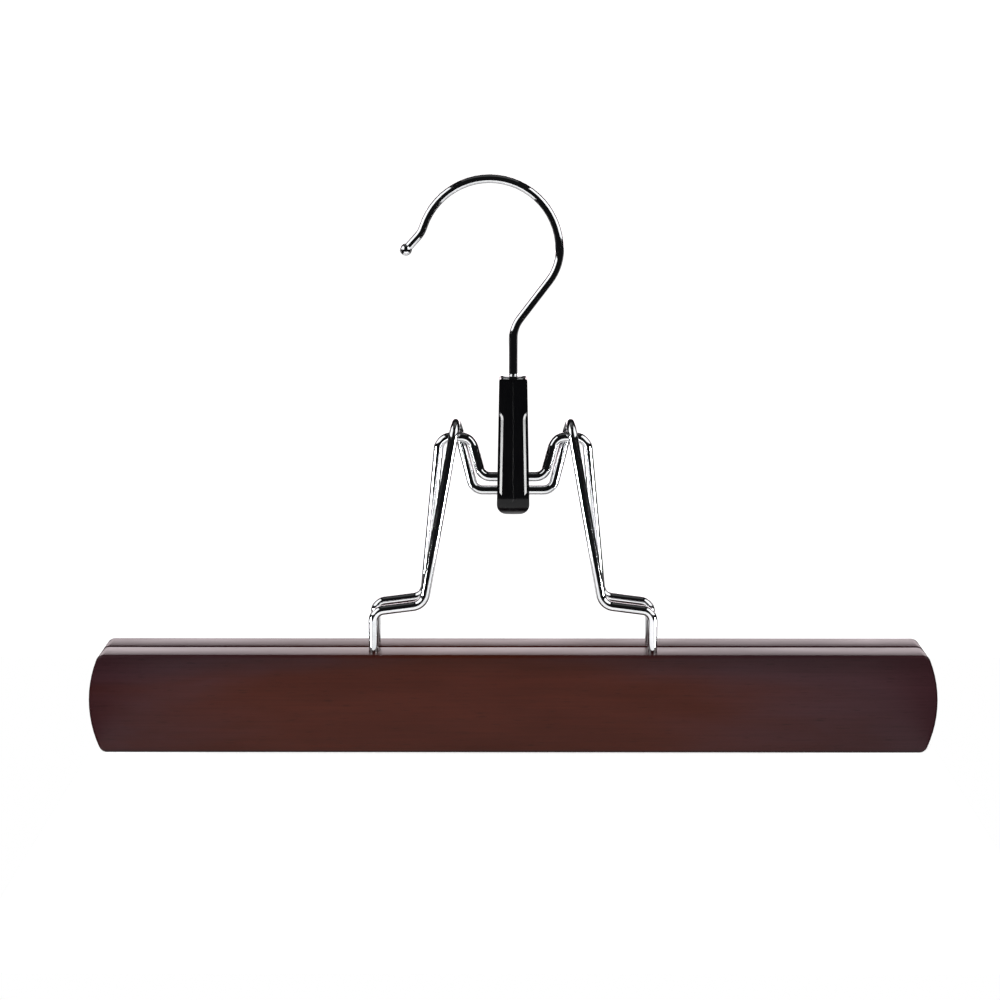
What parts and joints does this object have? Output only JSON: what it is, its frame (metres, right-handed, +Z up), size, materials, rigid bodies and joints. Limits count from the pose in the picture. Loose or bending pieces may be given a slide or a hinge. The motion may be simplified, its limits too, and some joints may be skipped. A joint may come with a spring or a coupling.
{
  "type": "skirt hanger",
  "caption": "Wooden clamp hanger for skirts and trousers: felt-lined bars on interlinked chrome wire frames, locked by a flip lever under a swivelling hook.",
  "frame": {"origin": "top of the inside of the hook, where it sits on a rail", "axes": "+X along the clamping bars to the right, +Y from the front jaw to the rear jaw, +Z up"},
  "size_m": [0.3, 0.0254, 0.2027],
  "materials": {
    "hook_wire": "polished chrome plate",
    "frame_wire": "polished chrome plate",
    "bush_steel": "bright plated",
    "washer_steel": "plain",
    "lever_plastic": "glossy moulded",
    "bar_wood": "dark reddish brown stain under satin lacquer",
    "jaw_felt": "felt"
  },
  "bodies": {
    "hook": {"hook": "hook_wire"},
    "lever": {"lever_left_half": "lever_plastic", "lever_right_half": "lever_plastic", "swivel_bush": "bush_steel", "hook_washer": "washer_steel"},
    "rear_jaw": {"rear_wire_frame": "frame_wire", "rear_bar": "bar_wood", "rear_felt": "jaw_felt"},
    "front_jaw": {"front_wire_frame": "frame_wire", "front_bar": "bar_wood", "front_felt": "jaw_felt"}
  },
  "joints": [
    {"name": "hook_swivel", "type": "hinge", "parent": "hook", "child": "lever", "pos_m": [0.0082, 0, -0.06724], "axis": [0, 0, 1], "continuous": true},
    {"name": "lever_flip", "type": "hinge", "parent": "lever", "child": "rear_jaw", "pos_m": [0.0082, 0, -0.10244], "axis": [1, 0, 0], "range_deg": [0, 70]},
    {"name": "front_open", "type": "hinge", "parent": "rear_jaw", "child": "front_jaw", "pos_m": [0.0082, 0, -0.08834], "axis": [-1, 0, 0], "range_deg": [0, 25]}
  ],
  "couplings": [
    {"joint": "front_open", "follows": "lever_flip", "ratio": 0.35714}
  ]
}
